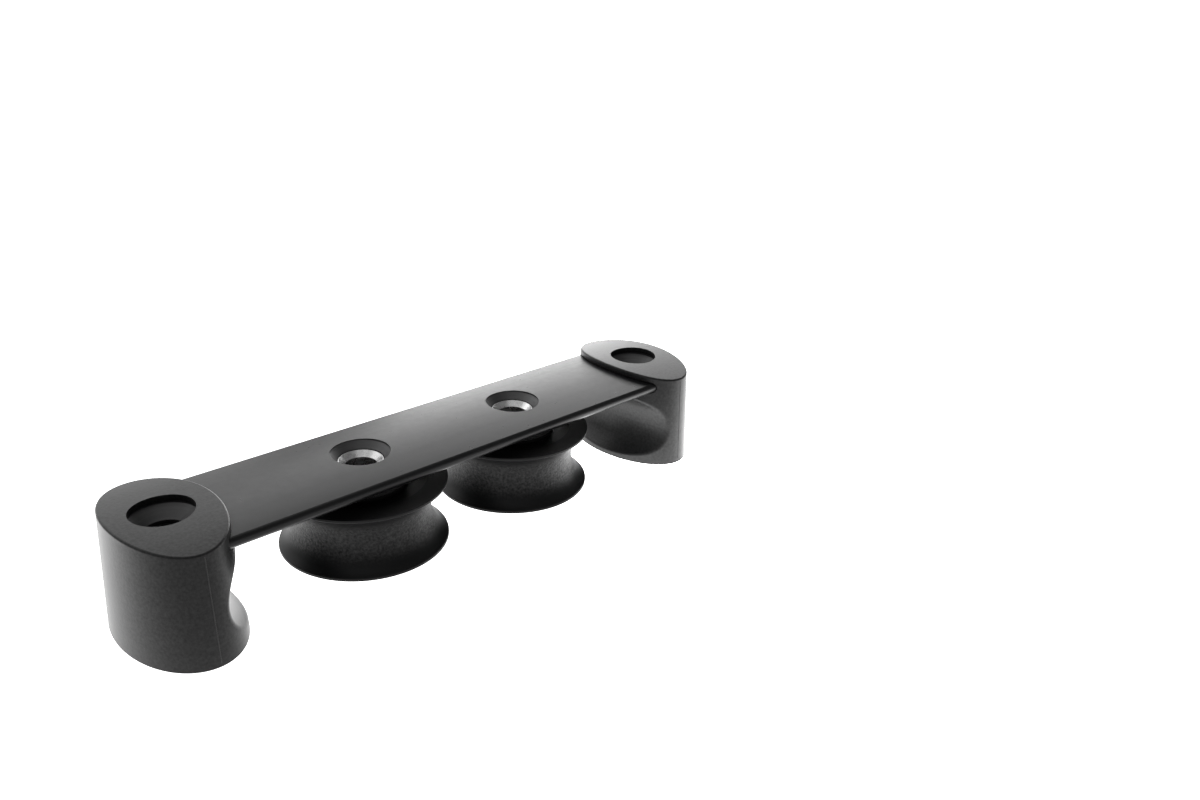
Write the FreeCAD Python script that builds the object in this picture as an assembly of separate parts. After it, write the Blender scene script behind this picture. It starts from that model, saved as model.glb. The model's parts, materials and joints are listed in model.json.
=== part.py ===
import FreeCAD, Part
import math
import os

from FreeCAD import Vector

# Rope deck organizer: two grooved sheaves side by side under one plate, with a moulded post at each end.
# Millimetres. X runs along the plate, Y across it, and Z up from the deck. The origin is in the middle
# of the footprint, on the deck.

# Driving dimensions

# Bolts: four in a row at one pitch, the outer two through the posts and the inner two through the bushes
hole_pitch = 57.5
bolt_hole_dia = 9.4
plate_bolt_hole_dia = 10.8
countersink_dia = 17.4
countersink_land = 0.6

# Top plate: crowned across its width. Its long edges are round up to a crease, where the crown begins.
plate_width = 38.3
plate_edge_radius = 1.8
plate_edge_thickness = 3.45
plate_crown_radius = 143.0
plate_underside_height = 27.2

# Sheaves
sheave_dia = 50.0
sheave_height = 19.6
sheave_groove_depth = 5.1
sheave_rim_land = 0.9
sheave_edge_round = 0.2
sheave_groove_round = 0.35
sheave_relief_depth = 1.0
sheave_relief_dia = 38.0

# Bearing of a sheave
journal_dia = 16.0
spigot_dia = 13.0
spigot_depth_below_plate_top = 2.7
bush_flange_dia = 29.0
bush_flange_thickness = 2.4
bush_rim = 0.2
liner_wall = 1.95
washer_dia = 27.0
washer_thickness = 1.0

# End posts
post_base_half_length = 15.6
post_base_half_width = 25.0
post_draft_angle = 3.0
cap_rise = 2.1
cap_edge_round = 0.6
cap_hole_dia = 16.3
post_wall = 3.2
scoop_floor_from_bolt = 9.5
scoop_plan_radius = 55.6
scoop_section_radius = 14.8
scoop_height = 13.8
scoop_upper_lip_round = 0.6
scoop_lower_lip_round = 2.0
core_depth = 18.0
core_boss_wall = 3.6
core_rib = 3.0
core_corner_round = 1.2

# Clearances
running_clearance = 0.05
axial_clearance = 0.15
washer_clearance = 0.15
spigot_clearance = 0.25
slot_clearance = 0.3

# Derived sizes and heights
bolt_hole_radius = bolt_hole_dia / 2
countersink_radius = countersink_dia / 2
plate_edge_centre_y = plate_width / 2 - plate_edge_radius
plate_edge_centre_z = plate_underside_height + plate_edge_radius
plate_crease_angle = math.asin(plate_edge_thickness / plate_edge_radius - 1)
plate_crease_y = plate_edge_centre_y + plate_edge_radius * math.cos(plate_crease_angle)
plate_crease_z = plate_underside_height + plate_edge_thickness
plate_top = plate_crease_z + plate_crown_radius - math.sqrt(plate_crown_radius**2 - plate_crease_y**2)
crown_centre_height = plate_top - plate_crown_radius
cap_top = plate_top + cap_rise
sheave_bottom = bush_flange_thickness + washer_thickness + axial_clearance
sheave_top = sheave_bottom + sheave_height
spacer_bottom = sheave_top + axial_clearance
spigot_top = plate_top - spigot_depth_below_plate_top
sheave_x = hole_pitch / 2
post_x = 1.5 * hole_pitch

# Tools that cut right through reach this far past the material
overshoot = 2.0


def post_half_axes(height, inset=0.0):
    """Half length along X and half width along Y of the drafted oval at a height, less an inset."""
    shrink = height * math.tan(math.radians(post_draft_angle)) + inset
    return post_base_half_length - shrink, post_base_half_width - shrink


def oval(half_length, half_width, height):
    """Closed ellipse in plan about the bolt axis, with its longer axis along Y."""
    ellipse = Part.Ellipse(Vector(0, half_width, height), Vector(-half_length, 0, height), Vector(0, 0, height))
    return Part.Wire(ellipse.toShape())


def oval_prism(half_length, half_width, bottom, top):
    """Upright prism on an ellipse."""
    return Part.Face(oval(half_length, half_width, bottom)).extrude(Vector(0, 0, top - bottom))


def disc(radius, bottom, top):
    """Upright cylinder on the Z axis."""
    return Part.makeCylinder(radius, top - bottom, Vector(0, 0, bottom))


def moved(shape, x):
    """Copy of a shape, shifted along X."""
    copy = shape.copy()
    copy.translate(Vector(x, 0, 0))
    return copy


def turned(points):
    """Solid turned about Z from a closed outline of (radius, height) points."""
    outline = [Vector(radius, 0, height) for radius, height in points]
    face = Part.Face(Part.makePolygon(outline + outline[:1]))
    return face.revolve(Vector(0, 0, 0), Vector(0, 0, 1), 360)


def plate_section(growth):
    """Cross-section of the plate in the YZ plane: flat below, crowned above, round at both long edges."""
    half = plate_edge_centre_y
    middle = plate_edge_centre_z
    radius = plate_edge_radius + growth
    low = middle - radius
    crest = plate_top + growth
    crease_y = half + radius * math.cos(plate_crease_angle)
    crease_z = middle + radius * math.sin(plate_crease_angle)
    flat = Part.LineSegment(Vector(0, -half, low), Vector(0, half, low))
    right = Part.Arc(Vector(0, half, low), Vector(0, half + radius, middle), Vector(0, crease_y, crease_z))
    crown = Part.Arc(Vector(0, crease_y, crease_z), Vector(0, 0, crest), Vector(0, -crease_y, crease_z))
    left = Part.Arc(Vector(0, -crease_y, crease_z), Vector(0, -half - radius, middle), Vector(0, -half, low))
    return Part.Face(Part.Wire([edge.toShape() for edge in (flat, right, crown, left)]))


def plate_blank(growth):
    """The plate without its holes, grown by a clearance: one section along X, kept to an oval at each end."""
    half_length, half_width = post_half_axes(plate_top, post_wall - growth)
    low = plate_underside_height - overshoot
    high = plate_top + overshoot
    plan = Part.makeBox(2 * post_x, 2 * plate_width, high - low, Vector(-post_x, -plate_width, low))
    for side in (-1, 1):
        plan = plan.fuse(moved(oval_prism(half_length, half_width, low, high), side * post_x))
    reach = post_x + post_base_half_length
    bar = moved(plate_section(growth).extrude(Vector(2 * reach, 0, 0)), -reach)
    return bar.common(plan).Solids[0]


def countersink(end_radius, bottom):
    """Bolt head seat: a short cylindrical land, a 90 degree cone down to end_radius, then a plain hole."""
    land_bottom = plate_top - countersink_land
    cone_bottom = land_bottom - (countersink_radius - end_radius)
    return turned([
        (0, plate_top + overshoot),
        (countersink_radius, plate_top + overshoot),
        (countersink_radius, land_bottom),
        (end_radius, cone_bottom),
        (end_radius, bottom),
        (0, bottom),
    ])


def top_plate():
    """Crowned plate from post to post, with rounded ends and four countersunk holes."""
    plate = plate_blank(0)
    below = plate_underside_height - overshoot
    for side in (-1, 1):
        bolt_seat = countersink(plate_bolt_hole_dia / 2, below)
        bush_seat = countersink(spigot_dia / 2 + spigot_clearance, below)
        plate = plate.cut(moved(bolt_seat, side * post_x)).cut(moved(bush_seat, side * sheave_x))
    return plate.Solids[0]


def under_the_crown():
    """Block under the crown of the cap, which follows the plate's crown at a constant rise."""
    reach = post_base_half_width + overshoot
    edge_height = crown_centre_height + math.sqrt((plate_crown_radius + cap_rise)**2 - reach**2)
    crown = Part.Arc(Vector(0, -reach, edge_height), Vector(0, 0, cap_top), Vector(0, reach, edge_height))
    sides = Part.makePolygon([
        Vector(0, reach, edge_height),
        Vector(0, reach, -overshoot),
        Vector(0, -reach, -overshoot),
        Vector(0, -reach, edge_height),
    ])
    block = Part.Face(Part.Wire([crown.toShape(), sides])).extrude(Vector(4 * post_base_half_length, 0, 0))
    block.translate(Vector(-2 * post_base_half_length, 0, 0))
    return block


def with_scoop(post):
    """Hollows the post for the outermost rope, on the side that faces -X, and rounds the hollow's lips.

    The hollow is part of a ring about an upright axis, so it is curved in plan as well as in section. It is
    cut as an upper and a lower half, because the upper lip is crisper than the lower one.
    """
    ring_radius = scoop_plan_radius + scoop_section_radius
    centre = Vector(scoop_plan_radius - scoop_floor_from_bolt, 0, scoop_height)
    ring = Part.makeTorus(ring_radius, scoop_section_radius, centre)
    across = 2 * (ring_radius + scoop_section_radius + overshoot)
    for level in (scoop_height, scoop_height - across):
        corner = Vector(centre.x - across / 2, -across / 2, level)
        post = post.cut(ring.common(Part.makeBox(across, across, across, corner)))
    post = post.Solids[0]
    radius_of = {
        number: scoop_lower_lip_round if edge.BoundBox.Center.z < scoop_height else scoop_upper_lip_round
        for number, edge in enumerate(post.Edges, start=1)
        if is_scoop_lip(edge)
    }
    return rounded(post, radius_of)


def is_scoop_lip(edge):
    """Whether an edge lies where the scoop meets the post's wall: on the -X side, and not on one level."""
    box = edge.BoundBox
    return box.XMax < 0 and box.ZLength > overshoot and box.ZMax < plate_underside_height


def rounded(shape, radius_of):
    """Shape with fillets whose radius differs from edge to edge, given by edge number."""
    document = FreeCAD.newDocument()
    sharp = document.addObject("Part::Feature", "sharp")
    sharp.Shape = shape
    fillet = document.addObject("Part::Fillet", "fillet")
    fillet.Base = sharp
    fillet.Edges = [(number, radius, radius) for number, radius in radius_of.items()]
    document.recompute()
    smooth = fillet.Shape.copy()
    FreeCAD.closeDocument(document.Name)
    return smooth


def core_pockets():
    """Two hollows under the post, in front of and behind the bolt boss, open to the deck."""
    half_length, half_width = post_half_axes(0, post_wall)
    hollow = oval_prism(half_length, half_width, -overshoot, core_depth)
    boss = disc(bolt_hole_radius + core_boss_wall, -overshoot, core_depth)
    scoop_side = bolt_hole_radius - core_rib
    solid_side = Part.makeBox(
        2 * post_base_half_length,
        2 * post_base_half_width,
        core_depth + overshoot,
        Vector(-scoop_side - 2 * post_base_half_length, -post_base_half_width, -overshoot),
    )
    rib = Part.makeBox(
        post_base_half_length,
        core_rib,
        core_depth + overshoot,
        Vector(0, -core_rib / 2, -overshoot),
    )
    hollow = hollow.cut(boss).cut(solid_side).cut(rib)
    upright = [edge for edge in hollow.Edges if is_upright(edge)]
    return hollow.makeFillet(core_corner_round, upright)


def is_upright(edge):
    """Whether an edge runs straight up."""
    box = edge.BoundBox
    return box.ZLength > overshoot and box.XLength < 0.01 and box.YLength < 0.01


def end_post():
    """Moulded post for the +X end: drafted oval, crowned cap, plate slot, scoop, bolt hole and cored base."""
    blank_top = cap_top + overshoot
    outline_low = oval(*post_half_axes(0), 0)
    outline_high = oval(*post_half_axes(blank_top), blank_top)
    post = Part.makeLoft([outline_low, outline_high], True, True)
    post = post.common(under_the_crown()).Solids[0]
    rim = [edge for edge in post.Edges if edge.BoundBox.ZMin > plate_crease_z]
    post = post.makeFillet(cap_edge_round, rim)

    post = with_scoop(post)
    post = post.cut(moved(plate_blank(slot_clearance), -post_x))
    post = post.cut(disc(bolt_hole_radius, -overshoot, plate_underside_height))
    post = post.cut(disc(cap_hole_dia / 2, plate_underside_height, cap_top + overshoot))
    return post.cut(core_pockets()).Solids[0]


def sheave():
    """Grooved wheel, turned: flat faces with a shallow relief, thin rims and a round rope groove."""
    half = sheave_height / 2
    radius = sheave_dia / 2
    bore = journal_dia / 2 + running_clearance + liner_wall
    groove_top = half - sheave_rim_land
    corners = [Vector(bore, 0, half), Vector(radius, 0, half), Vector(radius, 0, groove_top)]
    mirrored = [Vector(point.x, 0, -point.z) for point in reversed(corners)]
    groove = Part.Arc(corners[-1], Vector(radius - sheave_groove_depth, 0, 0), mirrored[0])
    outline = [
        Part.makePolygon(corners),
        groove.toShape(),
        Part.makePolygon(mirrored + corners[:1]),
    ]
    wheel = Part.Face(Part.Wire(outline)).revolve(Vector(0, 0, 0), Vector(0, 0, 1), 360)
    relief = disc(sheave_relief_dia / 2, 0, sheave_relief_depth).cut(disc(washer_dia / 2, 0, sheave_relief_depth))
    for bottom in (-half, half - sheave_relief_depth):
        ring = relief.copy()
        ring.translate(Vector(0, 0, bottom))
        wheel = wheel.cut(ring)
    wheel = wheel.makeFillet(sheave_groove_round, circles(wheel, radius, groove_top))
    wheel = wheel.makeFillet(sheave_edge_round, circles(wheel, radius, half))
    wheel.translate(Vector(0, 0, sheave_bottom + half))
    return wheel


def circles(shape, radius, level):
    """Circular edges of one radius at plus and minus a level."""
    return [
        edge for edge in shape.Edges
        if isinstance(edge.Curve, Part.Circle)
        and abs(edge.Curve.Radius - radius) < 0.001
        and abs(abs(edge.Curve.Center.z) - level) < 0.001
    ]


def bearing_liner():
    """Plain bearing pressed into the sheave, as long as the sheave is high."""
    inner = journal_dia / 2 + running_clearance
    return disc(inner + liner_wall, sheave_bottom, sheave_top).cut(disc(inner, sheave_bottom, sheave_top))


def sheave_bush():
    """Turned bush: flange on the deck, journal up to the plate, spigot in the plate, and a conical mouth."""
    mouth_radius = spigot_dia / 2 - bush_rim
    mouth_bottom = spigot_top - (mouth_radius - bolt_hole_radius)
    return turned([
        (bolt_hole_radius, 0),
        (bush_flange_dia / 2, 0),
        (bush_flange_dia / 2, bush_flange_thickness),
        (journal_dia / 2, bush_flange_thickness),
        (journal_dia / 2, plate_underside_height),
        (spigot_dia / 2, plate_underside_height),
        (spigot_dia / 2, spigot_top),
        (mouth_radius, spigot_top),
        (bolt_hole_radius, mouth_bottom),
    ])


def ring_on_journal(bottom, top):
    """Flat ring that fits loosely on the journal."""
    return disc(washer_dia / 2, bottom, top).cut(disc(journal_dia / 2 + washer_clearance, bottom, top))


def upper_spacer():
    """Ring that fills the gap between the plate and the sheave."""
    return ring_on_journal(spacer_bottom, plate_underside_height)


def thrust_washer():
    """Thin ring on the bush's flange, under the sheave."""
    return ring_on_journal(bush_flange_thickness, bush_flange_thickness + washer_thickness)


def build():
    """All pieces by name."""
    post = moved(end_post(), post_x)
    pieces = {
        "top_plate": top_plate(),
        "end_post_right": post,
        "end_post_left": post.mirror(Vector(0, 0, 0), Vector(1, 0, 0)),
    }
    station = {
        "sheave": sheave(),
        "bearing_liner": bearing_liner(),
        "sheave_bush": sheave_bush(),
        "upper_spacer": upper_spacer(),
        "thrust_washer": thrust_washer(),
    }
    for name, shape in station.items():
        pieces[name + "_left"] = moved(shape, -sheave_x)
        pieces[name + "_right"] = moved(shape, sheave_x)
    return pieces


os.makedirs("parts", exist_ok=True)
for node, solid in build().items():
    solid.exportStep(f"parts/{node}.step")
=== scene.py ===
import json
import math

import bmesh
import bpy
from mathutils import Matrix, Vector


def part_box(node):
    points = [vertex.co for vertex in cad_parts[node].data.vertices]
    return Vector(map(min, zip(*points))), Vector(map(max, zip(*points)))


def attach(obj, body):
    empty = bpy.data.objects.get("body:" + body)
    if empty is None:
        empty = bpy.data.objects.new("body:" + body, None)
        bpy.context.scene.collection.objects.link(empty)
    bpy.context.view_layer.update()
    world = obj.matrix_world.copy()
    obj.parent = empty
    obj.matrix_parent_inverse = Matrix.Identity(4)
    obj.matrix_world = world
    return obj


# Looks of the rope deck organizer: a material for each slot, the parting lines of the moulded
# posts, a studio, and the photograph's camera.
# Metres, in the part's own frame: X along the plate, Y across it, Z up from the floor.

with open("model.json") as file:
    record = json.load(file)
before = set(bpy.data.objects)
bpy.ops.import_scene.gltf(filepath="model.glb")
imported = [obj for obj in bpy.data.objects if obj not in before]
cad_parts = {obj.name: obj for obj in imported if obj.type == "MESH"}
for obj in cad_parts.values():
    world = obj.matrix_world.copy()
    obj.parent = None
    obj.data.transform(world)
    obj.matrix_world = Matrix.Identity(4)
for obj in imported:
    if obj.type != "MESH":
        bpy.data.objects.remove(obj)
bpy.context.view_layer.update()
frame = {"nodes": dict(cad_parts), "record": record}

# Camera: at the photograph's place, for an image of 1200 by 800 pixels
image_width_px = 1200
focal_length_px = 995.1
sensor_width_mm = 36.0
camera_place = Vector((-0.16556, -0.22886, 0.16381))
camera_yaw = math.radians(45.837)
camera_pitch = math.radians(23.583)
camera_roll = math.radians(-2.571)
camera_clip_start = 0.01

# Floor: white, and lit from under as a light table is. The glow grows with the distance from the
# middle.
floor_size = 120.0
floor_grey = 0.9
floor_roughness = 0.9
near_glow = 0.46
far_glow = 1.0
near_glow_until = 0.5
far_glow_from = 3.0

# More glow close round the part: strength, spread, and half the length of the line that it follows
close_glow = 1.5
close_glow_spread = 0.025
close_glow_half_length = 0.075

# Pools of more glow, most of them at the right: X, Y, spread, strength
floor_pools = [
    (-0.14, 0.07, 0.045, 1.7),
    (0.062, -0.02, 0.015, 1.8),
    (0.10, -0.035, 0.02, 1.2),
    (0.115, -0.05, 0.04, 3.2),
    (0.20, -0.12, 0.07, 2.6),
    (0.36, -0.05, 0.12, 1.6),
    (0.20, 0.14, 0.10, 1.3),
    (0.00, 0.20, 0.12, 0.8),
]

# Surroundings: strengths of horizon and sky. The first gives way to the second between two
# elevations, given as sines.
horizon_strength = 1.0
sky_strength = 0.2
horizon_until = 0.10
sky_from = 0.20

# Soft lights round the studio's middle: azimuth from +Y towards +X and elevation in degrees, width,
# height, radiance on the part
studio_middle = Vector((0.0, 0.0, 0.016))
light_distance = 2.0
soft_lights = {
    "Light_back_lowest": (49, 3, 1.32, 0.3, 4.0),
    "Light_back_low": (49, 12, 1.32, 0.78, 3.4),
    "Light_back": (46, 32, 1.52, 0.8, 2.35),
    "Light_back_right": (70, 22, 0.9, 0.4, 1.2),
    "Light_back_left_low": (1, 12, 1.48, 0.78, 1.0),
    "Light_back_left": (1, 32, 1.52, 0.8, 1.6),
    "Light_back_left_high": (1, 55, 1.4, 1.0, 1.3),
    "Light_left_back": (316, 34, 1.52, 0.9, 1.2),
    "Light_left_high": (272, 50, 1.5, 1.0, 0.5),
    "Light_front_high": (216, 62, 1.4, 0.9, 0.45),
    "Light_left_front": (262, 22, 1.4, 0.7, 0.45),
    "Light_top": (46, 77, 1.5, 0.9, 1.2),
}

# Parting lines of the end posts' mould: heights of their ends, width, how far they stand out of the
# wall and reach into it, and the length over which they rise at each end
post_draft_angle = math.radians(3.0)
parting_bottom = 0.0010
parting_top = 0.0312
parting_width = 0.00036
parting_height = 0.00010
parting_root = 0.00005
parting_taper = 0.0006

# The four bolt holes: the plate is machined within the first radius, and the floor doesn't glow
# within the second, which paints shade on the floor under the holes
hole_pitch = 0.0575
hole_places = [hole_pitch * step for step in (-1.5, -0.5, 0.5, 1.5)]
countersink_radius = 0.0087
dark_floor_radius = 0.0065

# The sheaves, by the height from their middle: the groove is pebbled, which fades out towards its
# ends, and the flat faces are rougher than the flanks
groove_half_height = 0.0070
groove_grain_fade = 0.0030
face_height = 0.0094
face_fade = 0.0005

# What most of a noise's values lie between
noise_low = 0.3
noise_high = 0.7


class NodeTree:
    """Short calls for building one material's node tree.

    Scales of noises are in cycles a metre, and colours are linear.
    """

    def __init__(self, name):
        self.material = bpy.data.materials.new(name)
        self.material.use_nodes = True
        self.nodes = self.material.node_tree.nodes
        self.nodes.clear()
        self.links = self.material.node_tree.links
        self.shader = self.node("ShaderNodeBsdfPrincipled")
        output = self.node("ShaderNodeOutputMaterial")
        self.link(self.shader.outputs["BSDF"], output.inputs["Surface"])

    def node(self, kind, **settings):
        made = self.nodes.new(kind)
        for name, value in settings.items():
            setattr(made, name, value)
        return made

    def link(self, source, target):
        self.links.new(source, target)

    def set(self, **values):
        """Gives sockets of the shader constant values. An underscore stands for a space."""
        for name, value in values.items():
            self.shader.inputs[name.replace("_", " ")].default_value = value

    def feed(self, socket, source):
        """Gives a socket of the shader a value of the tree."""
        self.link(source, self.shader.inputs[socket])

    def place(self):
        """Position on the piece at rest, in metres."""
        return self.node("ShaderNodeTexCoord").outputs["Object"]

    def coordinate(self, place, axis):
        split = self.node("ShaderNodeSeparateXYZ")
        self.link(place, split.inputs["Vector"])
        return split.outputs[axis]

    def distance(self, place, point):
        away = self.node("ShaderNodeVectorMath", operation="DISTANCE")
        away.inputs[1].default_value = point
        self.link(place, away.inputs[0])
        return away.outputs["Value"]

    def stretched(self, place, scale):
        mapping = self.node("ShaderNodeMapping")
        mapping.inputs["Scale"].default_value = scale
        self.link(place, mapping.inputs["Vector"])
        return mapping.outputs["Vector"]

    def noise(self, place, scale, detail=2.0, roughness=0.5):
        noise = self.node("ShaderNodeTexNoise")
        noise.inputs["Scale"].default_value = scale
        noise.inputs["Detail"].default_value = detail
        noise.inputs["Roughness"].default_value = roughness
        self.link(place, noise.inputs["Vector"])
        return noise.outputs["Fac"]

    def grain(self, place, scale):
        """Noise with stronger fine detail."""
        return self.noise(place, scale, detail=3.0, roughness=0.6)

    def streaks(self, place, scales):
        """Noise with its own scale along each axis."""
        return self.noise(self.stretched(place, scales), 1.0)

    def math(self, operation, first, second=None):
        """Sum, product and so on of a value and a value or number."""
        step = self.node("ShaderNodeMath", operation=operation)
        self.link(first, step.inputs[0])
        if isinstance(second, (int, float)):
            step.inputs[1].default_value = second
        elif second is not None:
            self.link(second, step.inputs[1])
        return step.outputs["Value"]

    def ramp(self, value, first, last, first_at=0.0, last_at=1.0):
        """A value from first to last, as the input goes from first_at to last_at."""
        ramp = self.node("ShaderNodeMapRange")
        ramp.inputs["From Min"].default_value = first_at
        ramp.inputs["From Max"].default_value = last_at
        ramp.inputs["To Min"].default_value = first
        ramp.inputs["To Max"].default_value = last
        self.link(value, ramp.inputs["Value"])
        return ramp.outputs["Result"]

    def varied(self, noise, low, high):
        """A value that a noise takes from low to high."""
        return self.ramp(noise, low, high, noise_low, noise_high)

    def shade(self, value, dark, light):
        """A colour between two given colours, by a value from 0 to 1."""
        mix = self.node("ShaderNodeMix", data_type="RGBA")
        mix.inputs["A"].default_value = (*dark, 1)
        mix.inputs["B"].default_value = (*light, 1)
        self.link(value, mix.inputs["Factor"])
        return mix.outputs["Result"]

    def mixed(self, value, first, second):
        """A colour between two colours of the tree."""
        mix = self.node("ShaderNodeMix", data_type="RGBA")
        self.link(first, mix.inputs["A"])
        self.link(second, mix.inputs["B"])
        self.link(value, mix.inputs["Factor"])
        return mix.outputs["Result"]

    def mixed_value(self, value, first, second):
        """A value between one of the tree and a number."""
        mix = self.node("ShaderNodeMix", data_type="FLOAT")
        self.link(first, mix.inputs["A"])
        mix.inputs["B"].default_value = second
        self.link(value, mix.inputs["Factor"])
        return mix.outputs["Result"]

    def bell(self, away, spread, strength):
        """A bell curve over a distance, with its strength at distance 0."""
        squared = self.math("POWER", self.math("DIVIDE", away, spread), 2)
        fallen = self.math("EXPONENT", self.math("MULTIPLY", squared, -0.5))
        return self.math("MULTIPLY", fallen, strength)

    def at_holes(self, place, radius):
        """1 within a radius of the four bolt holes' axes, 0 elsewhere."""
        on_floor = self.stretched(place, (1, 1, 0))
        inside = None
        for x in hole_places:
            near = self.math("LESS_THAN", self.distance(on_floor, (x, 0, 0)), radius)
            inside = near if inside is None else self.math("ADD", inside, near)
        return inside

    def bump(self, height, depth, normal=None):
        bump = self.node("ShaderNodeBump")
        bump.inputs["Distance"].default_value = depth
        self.link(height, bump.inputs["Height"])
        if normal is not None:
            self.link(normal, bump.inputs["Normal"])
        return bump.outputs["Normal"]


def anodised_plate():
    """Dark hard-anodised aluminium: satin, with faint drawn lines along the plate and a mottle.

    The countersinks are paler, with fine rings, where the metal is machined.
    """
    dark, light = (0.004, 0.004, 0.0042), (0.008, 0.008, 0.0083)
    cut_dark, cut_light = (0.075, 0.075, 0.0755), (0.105, 0.105, 0.1055)
    cut_roughness = 0.50
    tree = NodeTree("anodised_plate")
    place = tree.place()
    speckle = tree.noise(place, scale=2600.0)
    mottle = tree.grain(place, scale=450.0)
    drawn = tree.streaks(place, scales=(8, 900, 900))
    turned = tree.streaks(place, scales=(60, 60, 3500))
    machined = tree.at_holes(place, countersink_radius)
    skin = tree.shade(speckle, dark, light)
    cut = tree.shade(turned, cut_dark, cut_light)
    drawn_roughness = tree.ramp(drawn, first=0.28, last=0.34)
    skin_roughness = tree.math("ADD", drawn_roughness, tree.varied(mottle, low=-0.03, high=0.03))
    tree.feed("Base Color", tree.mixed(machined, skin, cut))
    tree.feed("Metallic", machined)
    tree.feed("Roughness", tree.mixed_value(machined, skin_roughness, cut_roughness))
    tree.feed("Normal", tree.bump(speckle, depth=0.000004))
    tree.set(IOR=1.31)
    return tree.material


def black_composite():
    """Black fibre-filled plastic: a fine spark-eroded skin and very faint lines round the walls."""
    dark, light = (0.004, 0.004, 0.0041), (0.012, 0.012, 0.0122)
    tree = NodeTree("black_composite")
    place = tree.place()
    grain = tree.grain(place, scale=1200.0)
    lines = tree.streaks(place, scales=(60, 60, 2200))
    line_gloss = tree.varied(lines, low=0.475, high=0.525)
    gloss = tree.math("ADD", tree.varied(grain, low=-0.09, high=0.09), line_gloss)
    tree.feed("Base Color", tree.shade(grain, dark, light))
    tree.feed("Roughness", tree.varied(grain, low=0.32, high=0.36))
    tree.feed("Specular IOR Level", gloss)
    tree.feed("Normal", tree.bump(grain, depth=0.00002))
    tree.set(IOR=1.30)
    return tree.material


def black_sheave():
    """Black plastic of the sheaves: smooth flanks, rougher faces, and a pebbled groove for grip."""
    smooth_dark, smooth_light = (0.003, 0.003, 0.0031), (0.006, 0.006, 0.0062)
    pebble_dark, pebble_light = (0.002, 0.002, 0.0021), (0.010, 0.010, 0.0102)
    tree = NodeTree("black_sheave")
    place = tree.place()
    low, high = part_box("sheave_left")
    middle = (low.z + high.z) / 2
    from_middle = tree.math("ABSOLUTE", tree.math("SUBTRACT", tree.coordinate(place, "Z"), middle))
    grain_from = groove_half_height - groove_grain_fade
    in_groove = tree.ramp(
        from_middle, first=1.0, last=0.0, first_at=grain_from, last_at=groove_half_height)
    skin = tree.noise(place, scale=3000.0)
    pebbles = tree.varied(tree.grain(place, scale=1300.0), low=0.0, high=1.0)
    raised = tree.math("MULTIPLY", pebbles, in_groove)
    smooth = tree.shade(skin, smooth_dark, smooth_light)
    pebbled = tree.shade(pebbles, pebble_dark, pebble_light)
    roughness = tree.ramp(in_groove, first=0.40, last=0.50)
    face_from = face_height - face_fade
    on_face = tree.ramp(from_middle, first=0.0, last=0.18, first_at=face_from, last_at=face_height)
    gloss = tree.ramp(in_groove, first=0.34, last=0.26)
    pebble_gloss = tree.ramp(raised, first=0.0, last=0.44)
    tree.feed("Base Color", tree.mixed(in_groove, smooth, pebbled))
    tree.feed("Roughness", tree.math("ADD", roughness, on_face))
    tree.feed("Specular IOR Level", tree.math("ADD", gloss, pebble_gloss))
    tree.feed("Normal", tree.bump(raised, depth=0.00008))
    tree.set(IOR=1.33)
    return tree.material


def stainless():
    """Turned stainless steel: fine rings, broken by a mottle left from polishing."""
    dark, light = (0.42, 0.42, 0.42), (0.76, 0.76, 0.76)
    tree = NodeTree("stainless")
    place = tree.place()
    rings = tree.streaks(place, scales=(60, 60, 2200))
    mottle = tree.grain(place, scale=650.0)
    uneven = tree.bump(mottle, depth=0.000008)
    tree.feed("Base Color", tree.shade(mottle, dark, light))
    tree.feed("Roughness", tree.varied(mottle, low=0.24, high=0.34))
    tree.feed("Normal", tree.bump(rings, depth=0.000006, normal=uneven))
    tree.set(Metallic=1.0)
    return tree.material


def plain_plastic(name, scale, dark, light, smoothest, roughest, **constants):
    """Plain plastic that varies a little in shade and roughness."""
    tree = NodeTree(name)
    cloud = tree.noise(tree.place(), scale)
    tree.feed("Base Color", tree.shade(cloud, dark, light))
    tree.feed("Roughness", tree.ramp(cloud, smoothest, roughest))
    tree.set(**constants)
    return tree.material


def bearing_plastic():
    """Natural bearing plastic of the liners."""
    dark, light = (0.70, 0.68, 0.62), (0.76, 0.74, 0.69)
    return plain_plastic(
        "bearing_plastic", scale=300.0, dark=dark, light=light, smoothest=0.35, roughest=0.45)


def washer_plastic():
    """Black low-friction plastic of the spacers and thrust washers."""
    dark, light = (0.012, 0.012, 0.012), (0.020, 0.020, 0.020)
    return plain_plastic(
        "washer_plastic", scale=600.0, dark=dark, light=light, smoothest=0.40, roughest=0.50)


def flash_line():
    """The posts' plastic on the thin ridge of a parting line, painted paler as a highlight along
    the ridge.
    """
    dark, light = (0.018, 0.018, 0.0182), (0.034, 0.034, 0.0343)
    return plain_plastic(
        "flash_line", scale=2500.0, dark=dark, light=light, smoothest=0.45, roughest=0.60, IOR=1.35)


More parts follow.
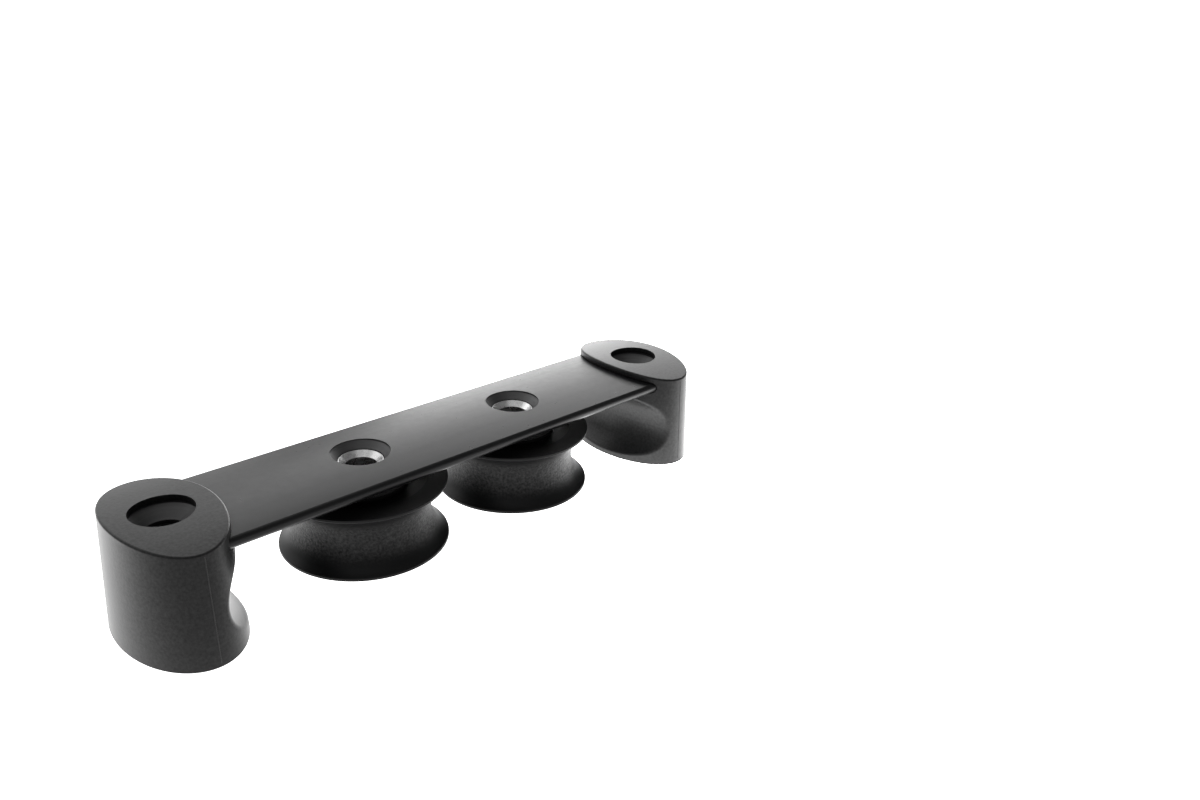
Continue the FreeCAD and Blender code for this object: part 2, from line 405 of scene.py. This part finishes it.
def floor_white():
    """Plain white studio floor with its glow, which lights the part from below."""
    tree = NodeTree("floor_white")
    place = tree.place()
    from_middle = tree.distance(place, (0, 0, 0))
    glow = tree.ramp(from_middle, near_glow, far_glow, near_glow_until, far_glow_from)
    for x, y, spread, strength in floor_pools:
        pool = tree.bell(tree.distance(place, (x, y, 0)), spread, strength)
        glow = tree.math("ADD", pool, glow)
    along = tree.math("ABSOLUTE", tree.coordinate(place, "X"))
    past_end = tree.math("MAXIMUM", tree.math("SUBTRACT", along, close_glow_half_length), 0.0)
    across = tree.coordinate(place, "Y")
    squares = tree.math("ADD", tree.math("POWER", past_end, 2), tree.math("POWER", across, 2))
    close = tree.bell(tree.math("SQRT", squares), close_glow_spread, close_glow)
    glow = tree.math("ADD", close, glow)
    # Painted shade: no glow on the floor under the bolt holes, beneath the plate
    lit = tree.ramp(tree.at_holes(place, dark_floor_radius), first=1.0, last=0.0)
    tree.set(Base_Color=(floor_grey, floor_grey, floor_grey, 1), Roughness=floor_roughness)
    tree.set(Emission_Color=(1, 1, 1, 1))
    tree.feed("Emission Strength", tree.math("MULTIPLY", lit, glow))
    return tree.material


def dress():
    """Gives every CAD node the material of its slot in the record."""
    made = {
        "anodised_plate": anodised_plate(),
        "black_composite": black_composite(),
        "black_sheave": black_sheave(),
        "stainless": stainless(),
        "bearing_plastic": bearing_plastic(),
        "washer_plastic": washer_plastic(),
    }
    slot_of = {part["node"]: part["material_slot"] for part in frame["record"]["subparts"]}
    for name, piece in frame["nodes"].items():
        piece.data.materials.clear()
        piece.data.materials.append(made[slot_of[name]])


def parting_line(post, side, material):
    """Thin ridge along one tip of a post, where the halves of its mould met.

    The side is -1 for the tip in front and 1 for the one at the back. The ridge fades out at both
    ends.
    """
    low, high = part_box(post)
    middle = (low.x + high.x) / 2
    half = parting_width / 2
    # Heights, and how far the ridge stands out of the wall there
    stations = [
        (parting_bottom, 0.0),
        (parting_bottom + parting_taper, parting_height),
        (parting_top - parting_taper, parting_height),
        (parting_top, 0.0),
    ]
    mesh = bmesh.new()
    rings = []
    for z, proud in stations:
        wall = high.y - z * math.tan(post_draft_angle)
        crest = [(-half / 2, proud), (half / 2, proud)]
        section = [(-half, -parting_root), *crest, (half, -parting_root)]
        rings.append([mesh.verts.new((middle + x, side * (wall + out), z)) for x, out in section])
    for lower, upper in zip(rings, rings[1:]):
        corners = len(lower)
        for i in range(corners):
            j = (i + 1) % corners
            mesh.faces.new((lower[i], lower[j], upper[j], upper[i]))
    mesh.faces.new(rings[0])
    mesh.faces.new(rings[-1])
    bmesh.ops.recalc_face_normals(mesh, faces=mesh.faces)
    name = f"parting_line_{post}_{'front' if side < 0 else 'back'}"
    data = bpy.data.meshes.new(name)
    mesh.to_mesh(data)
    mesh.free()
    data.materials.append(material)
    ridge = bpy.data.objects.new(name, data)
    bpy.context.scene.collection.objects.link(ridge)
    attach(ridge, "frame")


def add_floor():
    bpy.ops.mesh.primitive_plane_add(size=floor_size)
    floor = bpy.context.object
    floor.name = "studio_floor"
    floor.data.materials.append(floor_white())


def towards(azimuth, elevation):
    """Unit vector at an azimuth from +Y towards +X and an elevation, in degrees."""
    a, e = math.radians(azimuth), math.radians(elevation)
    return Vector((math.sin(a) * math.cos(e), math.cos(a) * math.cos(e), math.sin(e)))


def add_lights():
    """Soft panels that face the studio's middle. Energy follows from radiance and area."""
    for name, (azimuth, elevation, width, height, radiance) in soft_lights.items():
        light = bpy.data.lights.new(name, "AREA")
        light.shape = "RECTANGLE"
        light.size = width
        light.size_y = height
        light.energy = math.pi * width * height * radiance
        lamp = bpy.data.objects.new(name, light)
        direction = towards(azimuth, elevation)
        lamp.location = studio_middle + direction * light_distance
        lamp.rotation_euler = direction.to_track_quat("Z", "Y").to_euler()
        lamp.visible_camera = False
        bpy.context.scene.collection.objects.link(lamp)


def add_surroundings():
    """A pale horizon under a dim sky, so that low views have a pale background too."""
    world = bpy.data.worlds.new("studio")
    world.use_nodes = True
    nodes, links = world.node_tree.nodes, world.node_tree.links
    direction = nodes.new("ShaderNodeTexCoord")
    split = nodes.new("ShaderNodeSeparateXYZ")
    fall = nodes.new("ShaderNodeMapRange")
    fall.interpolation_type = "SMOOTHSTEP"
    fall.inputs["From Min"].default_value = horizon_until
    fall.inputs["From Max"].default_value = sky_from
    fall.inputs["To Min"].default_value = horizon_strength
    fall.inputs["To Max"].default_value = sky_strength
    links.new(direction.outputs["Generated"], split.inputs["Vector"])
    links.new(split.outputs["Z"], fall.inputs["Value"])
    links.new(fall.outputs["Result"], nodes["Background"].inputs["Strength"])
    nodes["Background"].inputs["Color"].default_value = (1, 1, 1, 1)
    bpy.context.scene.world = world


def add_camera():
    """Camera with the photograph's place, direction, roll and focal length."""
    ahead = Vector((
        math.sin(camera_yaw) * math.cos(camera_pitch),
        math.cos(camera_yaw) * math.cos(camera_pitch),
        -math.sin(camera_pitch),
    ))
    level = Vector((math.cos(camera_yaw), -math.sin(camera_yaw), 0))
    down = ahead.cross(level)
    right = math.cos(camera_roll) * level + math.sin(camera_roll) * down
    up = math.sin(camera_roll) * level - math.cos(camera_roll) * down
    data = bpy.data.cameras.new("camera")
    data.sensor_width = sensor_width_mm
    data.lens = focal_length_px * sensor_width_mm / image_width_px
    data.clip_start = camera_clip_start
    camera = bpy.data.objects.new("camera", data)
    rotation = Matrix((right, up, -ahead)).transposed()
    camera.matrix_world = Matrix.Translation(camera_place) @ rotation.to_4x4()
    bpy.context.scene.collection.objects.link(camera)
    bpy.context.scene.camera = camera


dress()
# The ridges' plastic is painted paler, as a highlight along the parting lines
ridge_highlight = flash_line()
for post in ("end_post_left", "end_post_right"):
    for side in (-1, 1):
        parting_line(post, side, ridge_highlight)
add_floor()
add_lights()
add_surroundings()
add_camera()
bpy.context.scene.view_settings.view_transform = "Standard"
